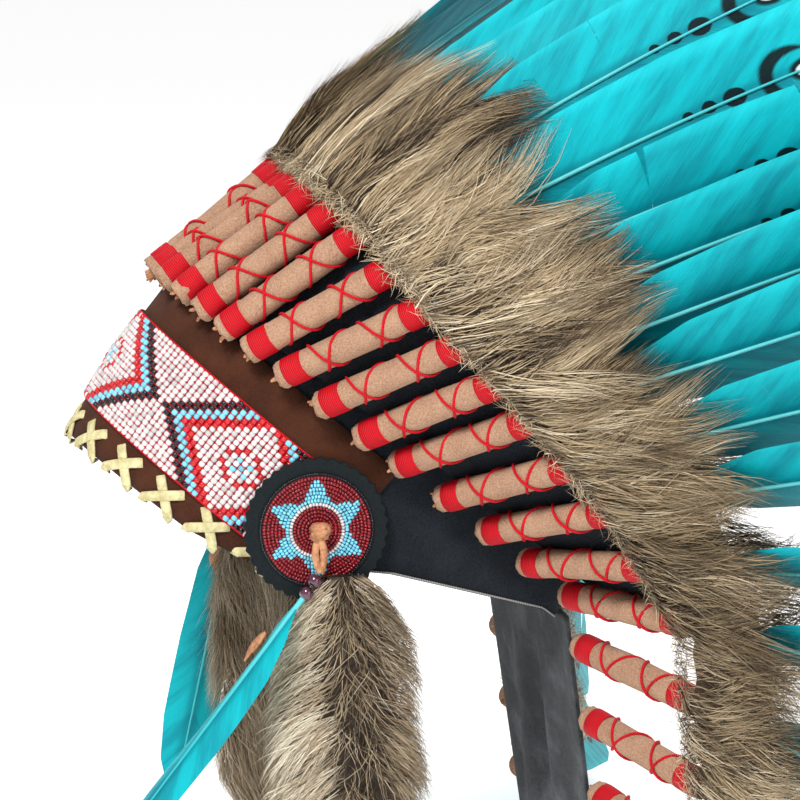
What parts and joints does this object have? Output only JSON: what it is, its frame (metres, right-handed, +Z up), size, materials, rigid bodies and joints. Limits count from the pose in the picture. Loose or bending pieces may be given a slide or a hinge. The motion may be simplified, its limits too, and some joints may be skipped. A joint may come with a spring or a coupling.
{
  "type": "feathered headdress",
  "caption": "Feathered headdress worn on the head: felt hood, beaded brow band, felt-wrapped quill rolls with dyed feathers, fur collar, side rosettes with drops, and a felt trailer",
  "frame": {"origin": "middle of the head opening, level with the middle of the beaded strip; the headdress is held there by the head", "axes": "+Z up, the front faces -Y, the wearer's left is +X; the crown is tilted back 41 degrees about X as worn"},
  "size_m": [0.8884, 0.431, 0.6308],
  "materials": {
    "black_felt": "dense matt felt",
    "brown_suede": "matt suede",
    "black_leather": "smooth satin",
    "tan_leather": "soft satin",
    "beadwork": "glossy glass seed beads on red thread",
    "rosette_beads": "glossy glass seed beads",
    "dark_glass": "dark glossy glass",
    "turquoise_feather": "dyed feather with a soft sheen",
    "fur": "long soft fur"
  },
  "bodies": {
    "root": {"beaded_strip": "beadwork", "drop_feather_left": "turquoise_feather", "drop_feather_right": "turquoise_feather", "felt_backing": "black_felt", "felt_cap": "black_felt", "fur_collar_inner": "fur", "fur_collar_outer": "fur", "fur_drop_left": "fur", "fur_drop_right": "fur", "hood_side_left": "black_felt", "hood_side_right": "black_felt", "plume_centre": "turquoise_feather", "plume_left_02": "turquoise_feather", "plume_left_03": "turquoise_feather", "plume_left_04": "turquoise_feather", "plume_left_05": "turquoise_feather", "plume_left_06": "turquoise_feather", "plume_left_07": "turquoise_feather", "plume_left_08": "turquoise_feather", "plume_left_09": "turquoise_feather", "plume_left_10": "turquoise_feather", "plume_left_11": "turquoise_feather", "plume_left_12": "turquoise_feather", "plume_left_13": "turquoise_feather", "plume_left_14": "turquoise_feather", "plume_left_15": "turquoise_feather", "plume_left_16": "turquoise_feather", "plume_left_17": "turquoise_feather", "plume_left_18": "turquoise_feather", "plume_right_02": "turquoise_feather", "plume_right_03": "turquoise_feather", "plume_right_04": "turquoise_feather", "plume_right_05": "turquoise_feather", "plume_right_06": "turquoise_feather", "plume_right_07": "turquoise_feather", "plume_right_08": "turquoise_feather", "plume_right_09": "turquoise_feather", "plume_right_10": "turquoise_feather", "plume_right_11": "turquoise_feather", "plume_right_12": "turquoise_feather", "plume_right_13": "turquoise_feather", "plume_right_14": "turquoise_feather", "plume_right_15": "turquoise_feather", "plume_right_16": "turquoise_feather", "plume_right_17": "turquoise_feather", "plume_right_18": "turquoise_feather", "rosette_backing_left": "black_leather", "rosette_backing_right": "black_leather", "rosette_left": "rosette_beads", "rosette_right": "rosette_beads", "suede_band": "brown_suede", "thong_bead_left_1": "dark_glass", "thong_bead_left_2": "dark_glass", "thong_bead_right_1": "dark_glass", "thong_bead_right_2": "dark_glass", "thong_left": "tan_leather", "thong_right": "tan_leather", "trailer": "black_felt"}
  },
  "joints": []
}
